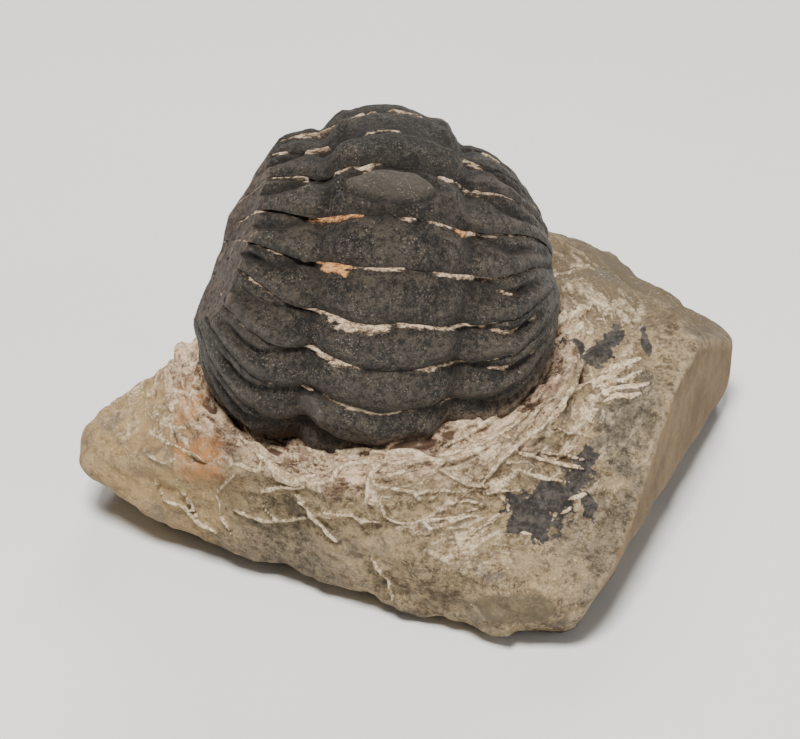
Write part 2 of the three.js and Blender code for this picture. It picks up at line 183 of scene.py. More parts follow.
# ridges of bruised stone between the scribe's strokes: width in pixels, then points of the photograph's frame
SCRIBED_RIDGES = {
    "fork at the left": (3.4, (156, 477), (168, 497), (185, 503), (200, 519), (219, 532)),
    "its branch": (2.6, (184, 488), (193, 502), (201, 519)),
    "second fork": (2.6, (239, 472), (226, 479), (221, 491), (223, 513), (233, 532)),
    "pale wedge streak": (3.0, (165, 444), (192, 454), (205, 462)),
    "upper wedge streak": (3.4, (172, 437), (183, 429), (196, 424)),
    "low wedge streak": (2.4, (148, 456), (167, 462)),
    "left root": (3.2, (232, 504), (247, 512), (265, 519), (297, 519), (308, 517)),
    "its twig": (2.4, (263, 501), (272, 513), (278, 518)),
    "steep root": (4.0, (298, 493), (309, 504), (312, 515), (326, 528), (339, 539)),
    "steep root's arm": (3.0, (312, 514), (325, 511), (339, 512)),
    "upper left root": (2.6, (261, 488), (280, 485), (297, 486), (312, 486)),
    "crest at the lower left": (6.0, (239, 435), (258, 459), (278, 477), (297, 482), (318, 478)),
    "hook": (5.5, (330, 484), (348, 472), (366, 465), (381, 468), (368, 482), (366, 500), (375, 504)),
    "dangling thread": (2.6, (378, 495), (385, 516), (393, 520), (409, 525)),
    "front left thread": (3.6, (321, 513), (353, 513), (364, 521), (382, 522)),
    "front upper root": (3.6, (385, 488), (416, 491), (436, 490), (459, 491)),
    "its loop": (3.0, (410, 492), (418, 499), (428, 498), (443, 491)),
    "front middle root": (3.4, (441, 504), (462, 502), (485, 504)),
    "front low root": (3.8, (412, 519), (430, 529), (459, 520), (484, 521)),
    "front low branch": (3.2, (419, 522), (455, 518), (482, 506)),
    "long diagonal": (5.6, (478, 490), (501, 458), (514, 447), (537, 431), (550, 419), (560, 400)),
    "descending root": (3.6, (434, 466), (452, 476), (469, 484), (491, 486)),
    "right root": (4.2, (512, 452), (532, 457), (553, 463), (580, 468)),
    "upper right root": (3.0, (537, 450), (562, 455), (589, 463)),
    "lower right root": (3.8, (514, 470), (532, 479), (550, 480), (568, 483)),
    "far right thread": (2.8, (550, 426), (565, 433), (577, 434), (591, 440)),
    "low right thread": (2.8, (485, 493), (505, 492), (526, 494)),
    "diagonal streak": (3.2, (373, 554), (384, 568), (391, 579), (395, 597)),
    "upper crest": (4.6, (444, 447), (465, 438), (484, 424), (500, 414)),
    "second crest": (3.6, (476, 447), (490, 440), (509, 427), (528, 412)),
    "pink crest": (7.0, (378, 454), (410, 452), (434, 461), (455, 459), (484, 447)),
    "pale junction": (8.0, (549, 424), (560, 405), (572, 390), (585, 383)),
    "fan's top": (5.4, (585, 383), (612, 377), (628, 366), (645, 358)),
    "fan's second": (4.6, (594, 386), (622, 381), (641, 372)),
    "fan's third": (5.4, (601, 395), (626, 388), (650, 383)),
    "fan's lowest": (6.0, (606, 401), (622, 397), (640, 395)),
    "fan's link": (5.0, (601, 372), (618, 366), (634, 362)),
    "fan's foot": (4.4, (600, 387), (607, 396), (612, 401)),
    "beside the scrap": (3.6, (552, 461), (566, 467), (582, 470)),
    "white edge": (3.0, (470, 533), (484, 529), (497, 521)),
    "short right thread": (3.0, (575, 421), (586, 424), (603, 424)),
    "chip in the scrap": (5.5, (567, 499), (576, 497), (586, 494)),
    "second chip": (5.0, (559, 515), (565, 512), (572, 507)),
    "third chip": (3.6, (519, 535), (531, 538)),
    "back streak": (7.0, (556, 337), (570, 333), (584, 330)),
    "far back streak": (9.0, (557, 322), (574, 317), (591, 311)),
}


def ramp(a, b, t):
    """0 below a, 1 above b, and an S curve between them; a may be the larger one."""
    u = np.clip((t - a) / (b - a), 0, 1)
    return u * u * (3 - 2 * u)


def bell(t, width):
    """A bump of height 1 at t = 0 that falls to 1/e at the given width."""
    return np.exp(-((t / width) ** 2))


def cloud(points, size, seed):
    """Smooth random values from -1 to 1: numbers on a cubic lattice of the given spacing, blended with an S
    curve between the eight corners round each point."""
    span = 32
    table = np.random.default_rng(seed).uniform(-1, 1, (span, span, span))
    place = points / size + 100.0 + 7.3 * seed
    cell = np.floor(place).astype(int)
    u = place - cell
    u = u * u * (3 - 2 * u)
    total = 0
    for corner in np.ndindex(2, 2, 2):
        x, y, z = np.moveaxis((cell + corner) % span, -1, 0)
        weight = np.prod(np.where(corner, u, 1 - u), axis=-1)
        total = total + weight * table[x, y, z]
    return total


def rough(points, size, seed, octaves=4):
    """Clouds of halving size and height, added up."""
    return sum(cloud(points, size / 2**k, seed + k) / 2**k for k in range(octaves))


def unit(v):
    """Vectors scaled to length 1."""
    return v / np.linalg.norm(v, axis=-1, keepdims=True)


def outward(grid):
    """Unit normals of a grid of points: the cross product of its two sets of grid lines."""
    return unit(np.cross(np.gradient(grid, axis=1), np.gradient(grid, axis=0)))


def closed_piece(name, grid, first, last, marks):
    """An object from a grid that goes round along its rows, closed by fans to the points first and last.
    Marks are arrays of the grid's size or of vectors on it, kept as attributes of its points."""
    rows, columns = grid.shape[:2]
    corner = 1 + np.arange(rows * columns).reshape(rows, columns)
    beyond = np.roll(corner, -1, axis=0)
    quads = np.stack([corner[:, :-1], corner[:, 1:], beyond[:, 1:], beyond[:, :-1]], -1).reshape(-1, 4)
    fans = [np.stack([0 * corner[:, 0], corner[:, 0], beyond[:, 0]], -1)]
    fans.append(np.stack([0 * corner[:, 0] + corner.size + 1, beyond[:, -1], corner[:, -1]], -1))
    points = np.concatenate([first[None], grid.reshape(-1, 3), last[None]]) + BALL
    mesh = bpy.data.meshes.new(name)
    mesh.from_pydata(points * METRE, [], quads.tolist() + np.concatenate(fans).tolist())
    mesh.shade_smooth()
    for key, values in marks.items():
        vector = values.ndim == 3
        field = mesh.attributes.new(key, "FLOAT_VECTOR" if vector else "FLOAT", "POINT")
        flat = values.reshape(rows * columns, -1)
        padded = np.concatenate([flat[:1], flat, flat[-1:]]).astype(np.float32).ravel()
        field.data.foreach_set("vector" if vector else "value", padded)
    return in_scene(name, mesh)


def stone_reach(direction):
    """Distance from the heart to the surface: the nearest face along the way, with rounded edges. It is the
    power mean of each face's share, which is direction . normal / distance."""
    crest_lightening, fresh = STONE_ROUNDNESS
    power = crest_lightening + (fresh - crest_lightening) * ramp(-0.1, 0.5, direction[..., 0])
    total = 0
    for out, at in STONE_FACES.values():
        normal = unit(out)
        share = direction @ normal / (normal @ (at - STONE_HEART))
        total = total + np.clip(share, 0, None) ** power
    return total ** (-1 / power)


def rim_height(compass):
    """Height of the stone where it meets the ball: S curves between the heights at known compass angles."""
    k = np.clip(np.searchsorted(RIM_COMPASS, compass, side="right") - 1, 0, len(RIM_COMPASS) - 2)
    start, end = RIM_COMPASS[k], RIM_COMPASS[k + 1]
    low, high = RIM_HEIGHT[k], RIM_HEIGHT[k + 1]
    return low + (high - low) * ramp(0, 1, (compass - start) / (end - start))


def lumps(p):
    """Three crossed swells a centimetre or two long."""
    x, y, z = p[..., 0], p[..., 1], p[..., 2]
    crossed = np.sin(0.55 * x + 0.31 * y + 0.4 * z) * np.sin(0.47 * y - 0.22 * x + 0.5 * z + 1.3)
    return LUMP_HEIGHT * (crossed + 0.5 * np.sin(0.9 * y + 0.35 * x - 0.6 * z + 0.4))


def behind_split(p):
    """Distance behind the plane of the smooth split on the right."""
    out, at = STONE_FACES["right face"]
    return (at - p) @ unit(out)


def stone_surface(compass, tilt):
    """A point of the stone by compass angle and angle from straight up, both seen from its heart: the rounded
    faces, the lumps, the collar that rises or falls to the ball, and the flat base that cuts off the rest."""
    a, b = np.radians(compass), np.radians(tilt)
    direction = np.stack([np.cos(a) * np.sin(b), np.sin(a) * np.sin(b), np.cos(b) + 0 * a], -1)
    p = STONE_HEART + direction * stone_reach(direction)[..., None]
    p = p + direction * (lumps(p) * (1 - SPLIT_CALM * ramp(SPLIT_REACH, 0, behind_split(p))))[..., None]
    away = np.hypot(p[..., 0], p[..., 1])
    near = ramp(RIM_RADIUS + RIM_REACH, RIM_RADIUS, away) * ramp(-15, -12, p[..., 2])
    rim = rim_height(np.degrees(np.arctan2(p[..., 1], p[..., 0])))
    p[..., 2] = p[..., 2] * (1 - near) + rim * near
    drop = p[..., 2] - STONE_HEART[2]
    share = np.where(p[..., 2] < STONE_BASE, (STONE_BASE - STONE_HEART[2]) / np.where(drop < 0, drop, -1), 1)
    return STONE_HEART + (p - STONE_HEART) * share[..., None]


def around(p):
    """Places measured round the ball: length round it from the front, distance from its axis, and height."""
    bearing = np.arctan2(p[..., 0], -p[..., 1])
    return np.stack([bearing * 18.0, np.hypot(p[..., 0], p[..., 1]), p[..., 2]], -1)


def seen_at(p):
    """Where a place is in the picture's frame: its offset across the view, scaled up as it comes nearer."""
    scale = CAMERA_DISTANCE / (CAMERA_DISTANCE - p @ to_camera) / MM_PER_PIXEL
    across, up = (p[..., 0] - aim[0]) * scale, ((p - aim) @ picture_up) * scale
    return np.stack([PICTURE[0] / 2 + across, PICTURE[1] / 2 - up], -1)


def ridge_height(p):
    """RIDGE_PEAK on the middle of a scribed ridge, falling by 1 for each half width from it. The width
    wavers, and tapers at both ends."""
    spot_seen = seen_at(p) + RIDGE_WANDER * np.stack([cloud(p, 1.5, 101), cloud(p, 1.5, 102)], -1)
    waver = 1 + RIDGE_WAVER * cloud(p, 0.9, 103)
    total = np.zeros(p.shape[:2])
    for width, *points in SCRIBED_RIDGES.values():
        reached, whole = 0.0, sum(np.hypot(*np.subtract(b, a)) for a, b in zip(points, points[1:]))
        for a, b in zip(points, points[1:]):
            along = np.subtract(b, a)
            share = np.clip((spot_seen - a) @ along / (along @ along), 0, 1)
            off = np.linalg.norm(spot_seen - a - share[..., None] * along, axis=-1)
            way = (reached + share * np.hypot(*along)) / whole
            taper = 0.35 + 0.65 * np.clip(5 * way, 0, 1) * np.clip(5 * (1 - way), 0, 1)
            total = np.maximum(total, RIDGE_PEAK - off / (0.5 * width * taper * waver))
            reached += np.hypot(*along)
    return total


# rows of the grid: close together over the top and the front edge, few on the underside
tilts = np.concatenate([
    np.linspace(BED_EDGE, 84, 128),
    np.linspace(84.5, 97, 36),
    np.linspace(97.4, 108, 40),
    np.linspace(110, 176, 9),
])
bearings = np.linspace(-180, 180, STONE_COLUMNS, endpoint=False)
bearings = bearings - np.degrees(FRONT_SHARE * np.cos(np.radians(bearings)))
compass, tilt = np.meshgrid(bearings, tilts, indexing="ij")
smooth_stone = stone_surface(compass, tilt)
normal = outward(smooth_stone)
bend = sum(np.linalg.norm(np.roll(normal, 2, k) - np.roll(normal, -2, k), axis=-1) for k in (0, 1))
away = np.hypot(smooth_stone[..., 0], smooth_stone[..., 1])
split = ramp(0.75, 0.95, normal @ unit(STONE_FACES["right face"][0]))
base = ramp(STONE_BASE + 1.2, STONE_BASE + 0.05, smooth_stone[..., 2])
upward = ramp(0.2, 0.7, normal[..., 2])
strokes = around(smooth_stone) * (0.3, 1.0, 1.0)
crumbs = CRUMBS[0] * rough(smooth_stone, 6.0, 11, 3) + CRUMBS[1] * rough(smooth_stone, 1.5, 21, 3)
chips = -CHIP_DEPTH * ramp(0.1, 0.5, cloud(smooth_stone, 3.2, 15)) * np.abs(cloud(smooth_stone, 1.4, 17))
wavy_strokes = strokes + 0.35 * cloud(smooth_stone, 1.6, 33)[..., None]
level_set = rough(wavy_strokes, 2.3, 31, 3)  # its zero lines run in strands
strand = ramp(0.17, 0.0, np.abs(level_set))
near = upward * ramp(*SCRIBED_TO, away)
patchy = ramp(-0.45, 0.1, cloud(strokes * (1.0, 0.6, 1.0), 3.5, 35))
near_crust = ramp(*CRUST_TO, away)
strand = strand * near * (1 - split) * np.maximum(patchy, near_crust)
ridges = ridge_height(smooth_stone) * ramp(0.1, 0.3, normal @ to_camera)
scribed = STRAND_HEIGHT * strand + RIDGE_HEIGHT * np.clip(ridges, 0, 1)
scribed = scribed - SCOOP_DEPTH * ramp(0.25, 0.7, level_set) * near * (ridges < 0.3)
gap = ramp(-0.5, 0.4, cloud(around(smooth_stone) * (0.6, 0, 0), 2.0, 41))
moat = -MOAT["depth"] * bell(away - MOAT["radius"], MOAT["width"]) * upward * gap
crust = CRUST["height"] * bell(away - CRUST["radius"], CRUST["width"]) * upward
crust = crust * ramp(-0.3, 0.6, cloud(strokes, 1.8, 43))
coarse = (0.3 - CRUST["coarse"] * np.abs(rough(strokes, 0.95, 45, 2))) * near_crust * upward
calm = (1 - 0.93 * split) * (0.3 + 0.7 * ramp(0.3, SPLIT_REST, behind_split(smooth_stone)))
relief = ((crumbs + chips) * calm + scribed + moat + crust + coarse) * (1 - base)
stone_grid = smooth_stone + normal * relief[..., None]
stone_grid[..., 2] = np.maximum(stone_grid[..., 2], STONE_BASE)
lip = stone_grid[:, :1]
turn = np.linspace(90, 4, BED_ROWS)[None, :, None] * np.pi / 180
bed_height = BED_BOTTOM + (lip[..., 2:] - BED_BOTTOM) * (1 - np.cos(turn))
bed = np.concatenate([lip[..., :2] * np.cos(np.pi / 2 - turn), bed_height], -1)  # a quarter ellipse
bed = bed[:, ::-1]
stone_all = np.concatenate([bed[:, :-1], stone_grid], axis=1)
in_bed = np.zeros((STONE_COLUMNS, BED_ROWS - 1))
# depth of the stone's hollows, which its finish darkens as painted shade
cavity = ramp(-0.1, -0.7, scribed + moat + coarse + 0.5 * crumbs)
stone_marks = {
    "hollow_shade": cavity, "strand": strand, "ridge": ridges,
    "split": split, "edge": ramp(0.35, 1.0, bend), "upward": upward,
}  # fmt: skip
stone_marks = {key: np.concatenate([in_bed, field], axis=1) for key, field in stone_marks.items()}
stone_marks["around"] = around(stone_all)
stone = closed_piece(
    "limestone_matrix",
    stone_all,
    np.array([0, 0, BED_BOTTOM]),
    np.array([STONE_HEART[0], STONE_HEART[1], STONE_BASE]),
    stone_marks,
)
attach(stone, "root")
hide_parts("matrix")


# The trilobite is one dark calcite body: eleven overlapping segments with a raised middle lobe, the head
# behind and the tail in front, rolled up until tail and head meet in the stone. Its left shoulder broke off
# flat, and pale calcite filled the cracks between the segments.
BALL_RADIUS = 16.5
HALF_WIDTH = 15.7
WIDER_BELOW = 0.8
LEAN = 7.9
YAW = 2.5
# roll angles of the joints, head to tail
JOINTS = np.array([129, 111.5, 93, 75.5, 57, 40.5, 23.5, 9.8, -6, -23, -41, -59])
TAIL_TIP = -120.0
TAIL_RING = 8.0  # degrees from one ring of the tail to the next
TAIL_RING_HEIGHT = 0.3
SWEEP = 12.0
HINGE_SHIFT = 2.7
HINGE_ANGLE = 125.0
AXIS_HALF = 0.37
AXIS_HEIGHT = 0.13
AXIAL_FURROW = 0.6
PLEURAL_FURROW = 0.95
LEFT_WORN = 0.2  # how much shallower the furrows are on the left
BOSS = 0.68
BOSS_PIT = 0.45
ROLL_TOP = 0.45  # share of a segment's length where the middle lobe's roll is highest
ROLL_START, ROLL_RISE, ROLL_FALL = 0.72, 1.27, 0.85
BAND_FRONT, BAND_STEP, BAND_BACK, BAND_DROP = 0.38, 0.6, 0.28, 0.3
OVERHANG = 1.3  # degrees that a back edge hangs over the next segment
TUCK = 0.4  # degrees that a front edge goes under the one before
BREAKS = (((-0.855, -0.067, 0.515), 14.85), ((-0.912, 0.251, 0.324), 13.5))  # outward direction, depth
LEFT_KNOB = (-13.0, 1.3, 7.3)  # where the broken side still stands out
KNOB_HEIGHT, KNOB_WIDTH = 0.95, 3.4
TORN_INSET, TORN_ROUGHNESS = 0.15, 0.22
WANDER = (1.1, 0.3)  # degrees that the joints stray, in long and in short waves
RAISED_LEFT = (23.5, 9.0, 4.0)  # where segments rise to their left tips: roll angle, width, degrees
FLAT_BACK, FULL_LEFT, RAGGED_EDGE = 0.42, 0.85, 0.14
UNEVEN, TUBERCLES = (0.19, 0.12), 0.3
GLABELLA_FROM, GLABELLA_TO = 150.0, 226.0
GLABELLA_NARROW, GLABELLA_WIDE = 0.32, 0.6
GLABELLA_HEIGHT = 2.4
EYE_ANGLE, EYE_SIDE = 175.0, 0.62
EYE_LONG, EYE_WIDE = 12.0, 0.19
EYE_HEIGHT = 2.4
EYE_MOAT = 0.5
# ridges and furrows across the head: roll angle, width in degrees, height in mm
NECK_RING, NECK_LOBE, NECK_FURROW = (135, 4, 0.35), (146, 2.5, 0.2), (141.5, 1.8, -0.6)
GLABELLA_FURROW, HEAD_BORDER = (150.5, 1.8, -0.5), (231.0, 2.2, -0.5)
FOSSIL_COLUMNS = 236

# calcite in the joints: number of the joint from the head, from which side share to which, width in mm
CREAM_JOINTS = (
    (2, -0.20, 0.02, 0.1), (3, -0.26, -0.10, 0.25), (3, 0.21, 0.31, 0.5), (3, 0.38, 0.5, 0.4),
    (3, -0.6, -0.48, 0.3), (4, 0.26, 0.46, 0.5), (4, -0.84, -0.68, 0.35), (5, 0.18, 0.46, 0.45),
    (5, -0.76, -0.58, 0.28), (6, -0.42, 0.02, 0.72), (6, -0.82, -0.46, 0.25), (7, -0.44, -0.18, 0.65),
    (7, -0.92, -0.68, 0.25), (7, 0.2, 0.45, 0.35), (8, -0.6, -0.33, 0.5), (8, -0.93, -0.75, 0.22),
    (9, -0.92, -0.5, 0.25), (4, -0.02, 0.1, 0.25), (5, -0.24, 0.06, 0.14),
    (4, 0.4, 0.7, 0.2), (6, 0.0, 0.62, 0.2), (7, 0.1, 0.8, 0.2), (8, -0.3, 0.1, 0.15), (2, 0.4, 0.52, 0.25),
    (5, 0.4, 0.66, 0.22), (8, 0.3, 0.7, 0.18), (3, 0.3, 0.6, 0.2),
)  # fmt: skip
ORANGE_JOINTS = ((4, -0.5, -0.17, 0.55), (5, -0.43, -0.22, 0.8), (4, 0.3, 0.4, 0.6))
# calcite along a segment's furrow: number of the segment, side shares, width in mm
CREAM_FURROWS = ((5, 0.46, 0.7, 0.2), (6, 0.44, 0.82, 0.25), (7, 0.4, 0.72, 0.3), (7, 0.76, 0.92, 0.2))

lean, yaw = np.radians(LEAN), np.radians(YAW)
turned = np.array([[np.cos(yaw), -np.sin(yaw), 0], [np.sin(yaw), np.cos(yaw), 0], [0, 0, 1]])
turned = turned @ np.array([[np.cos(lean), 0, np.sin(lean)], [0, 1, 0], [-np.sin(lean), 0, np.cos(lean)]])


def roll_direction(angle):
    """Unit vector in the plane of the roll: 0 points to the front, 90 up, 180 to the back."""
    return np.stack([0 * angle, -np.cos(np.radians(angle)), np.sin(np.radians(angle))], -1)


def low_front(angle):
    """1 on the lower front of the ball and 0 over its top and back."""
    return ramp(60, 5, angle) * ramp(-150, -75, angle)


def vault(angle, side):
    """Height of the body across its width as a share of the radius: a boxy arch under the middle lobe."""
    across = np.abs(side)
    flank = (1 - AXIS_HEIGHT) * np.sqrt(np.clip(1 - across ** (2.7 + 1.9 * low_front(angle)), 0, 1))
    lobe = np.clip(1 - (across / (AXIS_HALF + 0.05)) ** 2, 0, 1) ** 1.3
    behind = ramp(150, 200, angle)
    return flank + AXIS_HEIGHT * (lobe * (1 - behind) + np.clip(1 - across**2, 0, 1) * behind)


def sweep(angle, side):
    """Degrees by which the segments bend towards the head at their tips."""
    outer = np.clip((np.abs(side) - 0.45) / 0.55, 0, 1) ** 1.6
    return SWEEP * outer * ramp(180, 130, angle) * ramp(-115, -60, angle)


def body(angle, side, lift):
    """A point of the rolled body: out from the inner hinge to the crest by the vault's share, then leaned."""
    hinge = HINGE_SHIFT * roll_direction(HINGE_ANGLE)
    crest = (BALL_RADIUS + lift)[..., None] * roll_direction(angle)
    p = hinge + (crest - hinge) * vault(angle, side)[..., None]
    p[..., 0] = side * (HALF_WIDTH + WIDER_BELOW * low_front(angle) + 0.5 * lift * np.abs(side))
    return p @ turned.T


def ridge_at(angle, mark):
    """A ridge across the body: mark is its roll angle, its width in degrees and its height in mm."""
    at, width, high = mark
    return high * bell(angle - at, width)


def furrow_place(side):
    """Where a segment's furrow runs: from its front edge at the middle lobe to halfway down at the bend."""
    return 0.05 + 0.45 * ramp(0.4, 0.7, np.abs(side))


def segment_relief(u, side):
    """Height of a segment, u from its front edge to its back edge: a soft roll on the middle lobe, a flat
    band with a raised back edge and a furrow on the flanks, and a swelling at each end of the roll."""
    across = np.abs(side)
    rise, fall = np.clip(u / ROLL_TOP, 0, 1), np.clip((u - ROLL_TOP) / (1 - ROLL_TOP), 0, 1)
    roll = -ROLL_START + ROLL_RISE * np.sin(np.pi / 2 * rise) - ROLL_FALL * fall**2
    band = -BAND_FRONT + BAND_STEP * ramp(0, 0.25, u) + BAND_BACK * ramp(0.5, 0.78, u)
    band = band - BAND_DROP * ramp(0.82, 1, u)
    furrow = PLEURAL_FURROW * bell(u - furrow_place(side), 0.11)
    furrow = furrow * ramp(0.4, 0.48, across) * ramp(0.9, 0.72, across)
    furrow = furrow * (1 - LEFT_WORN * ramp(-0.35, -0.45, side) * ramp(-0.8, -0.65, side))
    boss = BOSS * bell(across - 0.31, 0.06) * bell(u - 0.58, 0.26)
    boss = boss - BOSS_PIT * bell(across - 0.41, 0.05) * bell(u - 0.16, 0.16)
    flank = ramp(0.31, 0.44, across)
    return (roll * (1 - flank) + (band - furrow) * flank + boss) * ramp(1, 0.9, across)


def axial_furrow(angle, side):
    """The groove on each side of the middle lobe, closing in towards the tail."""
    narrow = AXIS_HALF + 0.02 - 0.05 * ramp(20, -50, angle)
    furrow = AXIAL_FURROW * bell(np.abs(side) - narrow, 0.06)
    return -furrow * ramp(158, 145, angle) * ramp(-112, -90, angle)


def tail_relief(angle, side):
    """Six fading rings of the tail shield, with ribs beside them."""
    along = ramp(-59, -64, angle) * ramp(-112, -95, angle)
    ring = np.cos((angle - JOINTS[-1]) / TAIL_RING * 2 * np.pi)
    return TAIL_RING_HEIGHT * along * ring * ramp(0.95, 0.75, np.abs(side))


def head_relief(angle, side):
    """The neck ring, the swollen glabella, the eyes on their mounds and the furrow inside the head's rim."""
    across = np.abs(side)
    lobe = ramp(0.44, 0.36, across)
    neck = (ridge_at(angle, NECK_RING) + ridge_at(angle, NECK_LOBE)) * lobe + ridge_at(angle, NECK_FURROW)
    neck = neck + ridge_at(angle, GLABELLA_FURROW) * ramp(0.6, 0.4, across)
    spread = ramp(GLABELLA_FROM, GLABELLA_TO, angle)
    edge = GLABELLA_NARROW + (GLABELLA_WIDE - GLABELLA_NARROW) * spread
    dome = ramp(GLABELLA_FROM, GLABELLA_FROM + 14, angle) * ramp(GLABELLA_TO, GLABELLA_TO - 12, angle)
    glabella = GLABELLA_HEIGHT * dome * ramp(edge + 0.07, edge - 0.12, across)
    from_eye = np.hypot((angle - EYE_ANGLE) / EYE_LONG, (across - EYE_SIDE) / EYE_WIDE)
    eye = EYE_HEIGHT * ramp(1, 0.45, from_eye) - EYE_MOAT * bell(from_eye - 1.1, 0.15)
    total = neck + glabella + eye + ridge_at(angle, HEAD_BORDER)
    return total * ramp(1, 0.93, across) * ramp(JOINTS[0] - 1, JOINTS[0] + 3, angle)


def along_joint(number, start, end, width, angle, side, p):
    """1 where calcite fills the crack behind a joint, tapered at its ends, with a ragged lower edge."""
    past = np.radians(JOINTS[number] - OVERHANG - angle) * BALL_RADIUS
    share = np.clip((side - start) / (end - start), 0, 1)
    taper = (4 * share * (1 - share)) ** 0.8
    fibres = p * (0.45, 1, 1)
    ragged = 0.7 * width * taper * (0.9 + 1.1 * cloud(fibres, 0.9, 61) + 0.8 * cloud(fibres, 0.4, 62))
    return ramp(ragged + 0.4, ragged - 0.3, past) * ramp(-0.4, 0.0, past) * ramp(0.0, 0.4, taper)


# rows of the grid: every segment from its tucked front edge to its overhanging back edge, the tail, the head
in_segment = np.concatenate([np.linspace(0, 0.12, 4), np.linspace(0.16, 0.9, 17), [0.94, 0.97, 0.99, 1.0]])
starts, lengths = JOINTS[:-1] + TUCK, np.diff(JOINTS) - TUCK - OVERHANG
row_angle = [(starts[:, None] + lengths[:, None] * in_segment).ravel()]
row_u = [np.tile(in_segment, len(starts))]
row_segment = [np.repeat(np.arange(len(starts)), len(in_segment))]
for plain in (np.linspace(JOINTS[-1] - 0.4, TAIL_TIP + 1, 34), np.linspace(240, JOINTS[0] + TUCK, 94)):
    row_angle.append(plain)
    row_u.append(0 * plain - 1)
    row_segment.append((0 * plain - 1).astype(int))
row_angle, row_u, row_segment = (np.concatenate(rows) for rows in (row_angle, row_u, row_segment))
shares = np.sin(np.linspace(1, -1, FOSSIL_COLUMNS) * np.pi / 2)[1:-1]
angle, side = np.meshgrid(row_angle, shares, indexing="ij")
u = np.broadcast_to(row_u[:, None], angle.shape)
segment = np.broadcast_to(row_segment[:, None], angle.shape)
plain_body = body(angle + sweep(angle, side), side, 0 * angle)
wander = (WANDER[0] * cloud(plain_body, 4.0, 51) + WANDER[1] * cloud(plain_body, 1.1, 53)) * (u >= 0)
raised_left = ridge_at(angle, RAISED_LEFT) * ramp(-0.4, -0.75, side)
bent = angle + (wander + raised_left) * ramp(1, 0.9, np.abs(side))
lift = np.where(u >= 0, segment_relief(u, side), 0) + axial_furrow(angle, side)
lift = lift + tail_relief(angle, side) + head_relief(angle, side)
lift = lift + RAGGED_EDGE * ramp(0.8, 1, u) * cloud(plain_body, 1.6, 52) * ramp(1, 0.9, np.abs(side))
lift = lift - FLAT_BACK * ramp(60, 95, angle) * ramp(165, 135, angle)
lift = lift + FULL_LEFT * ramp(-0.3, -0.6, side) * ramp(-60, -30, angle) * ramp(30, 5, angle)
behind_joint = np.radians(JOINTS[np.clip(segment, 0, 10)] - OVERHANG - angle) * BALL_RADIUS
hair = ramp(0.24, 0.04, behind_joint) * ramp(-0.3, 0.0, behind_joint)
hair = hair * (segment >= 1) * (segment <= 9) * (u < 0.4)
thin = cloud(plain_body, 2.4, 66) + 0.4 * cloud(plain_body, 0.7, 67) + 0.3 * np.abs(side) + 0.22 * side
cream = 0.9 * hair * ramp(0.0, 0.4, thin)
for joint in CREAM_JOINTS:
    cream = np.maximum(cream, along_joint(*joint, angle, side, plain_body) * (segment == joint[0]))
orange = 0 * angle
for joint in ORANGE_JOINTS:
    orange = np.maximum(orange, along_joint(*joint, angle, side, plain_body) * (segment == joint[0]))
for number, start, end, width in CREAM_FURROWS:
    off = (u - furrow_place(side)) * np.radians(-lengths[number]) * BALL_RADIUS
    ends = ramp(start - 0.02, start + 0.04, side) * ramp(end + 0.02, end - 0.04, side)
    thread = bell(off, width * (1 + 0.5 * cloud(plain_body, 1.2, 63))) * ends * (segment == number)
    cream = np.maximum(cream, thread * ramp(-0.6, 0.1, cloud(plain_body, 1.5, 64)))
filled = np.maximum(cream, orange) * (u < 0.4)
lift = lift + (np.maximum(lift, -0.08) - lift) * filled

# the oval scar on the third ring, and the rough pit beside it
SCAR_ANGLE, SCAR_SIDE = 66.8, -0.05
SCAR_HIGH, SCAR_WIDE = 6.2, 0.26
SCAR_RING, SCAR_DOME = 0.6, 0.1
from_scar = np.hypot((angle - SCAR_ANGLE) / SCAR_HIGH, (side - SCAR_SIDE) / SCAR_WIDE)
lift = lift - SCAR_RING * bell(from_scar - 1, 0.12) + SCAR_DOME * ramp(0.9, 0.4, from_scar)
scar = ramp(1.0, 0.85, from_scar)
PIT_ANGLE, PIT_SIDE = 63.5, -0.33
PIT_HIGH, PIT_WIDE, PIT_DEPTH = 4.6, 0.09, 0.8
from_pit = np.hypot((angle - PIT_ANGLE) / PIT_HIGH, (side - PIT_SIDE) / PIT_WIDE)
lift = lift - PIT_DEPTH * ramp(1.2, 0.4, from_pit) * (0.55 + 0.6 * cloud(plain_body, 0.6, 65))

fossil_grid = body(bent + sweep(angle, side), side, lift)
out_of_ball = unit(fossil_grid)
from_eye = np.hypot((angle - EYE_ANGLE) / EYE_LONG, (np.abs(side) - EYE_SIDE) / EYE_WIDE)
off_eye = ramp(0.95, 1.2, from_eye)
uneven = UNEVEN[0] * rough(fossil_grid, 4.5, 71, 2) + UNEVEN[1] * rough(fossil_grid, 1.1, 73, 3) * off_eye
tubercles = TUBERCLES * np.clip(cloud(fossil_grid, 0.9, 76), 0, 1) * ramp(152, 160, angle) * off_eye
fossil_grid = fossil_grid + out_of_ball * (uneven + tubercles)[..., None]
broken = 0 * angle
for out, depth in BREAKS:
    direction = unit(out)
    knob = KNOB_HEIGHT * np.exp(-np.sum((fossil_grid - LEFT_KNOB) ** 2, -1) / KNOB_WIDTH**2)
    torn = depth - TORN_INSET + knob + TORN_ROUGHNESS * rough(fossil_grid, 3.0, 81, 3)
    past = fossil_grid @ direction - torn
    fossil_grid = fossil_grid - np.clip(past, 0, None)[..., None] * direction
    broken = np.maximum(broken, ramp(-0.25, 0.1, past))
# painted shade: darker where the surface sinks into furrows and joints, and under each segment's back edge
hollow_shade = np.maximum(ramp(0.2, -0.5, lift), 0.6 * ramp(0.75, 0.98, u))
bearing = np.degrees(np.arctan2(fossil_grid[..., 1], fossil_grid[..., 0]))
earth = ramp(2.2, 0.2, fossil_grid[..., 2] - rim_height(bearing) + 0.8 * cloud(fossil_grid, 1.8, 91))
crest = ramp(0.55, 0.95, u) * ramp(0.1, 0.4, lift)
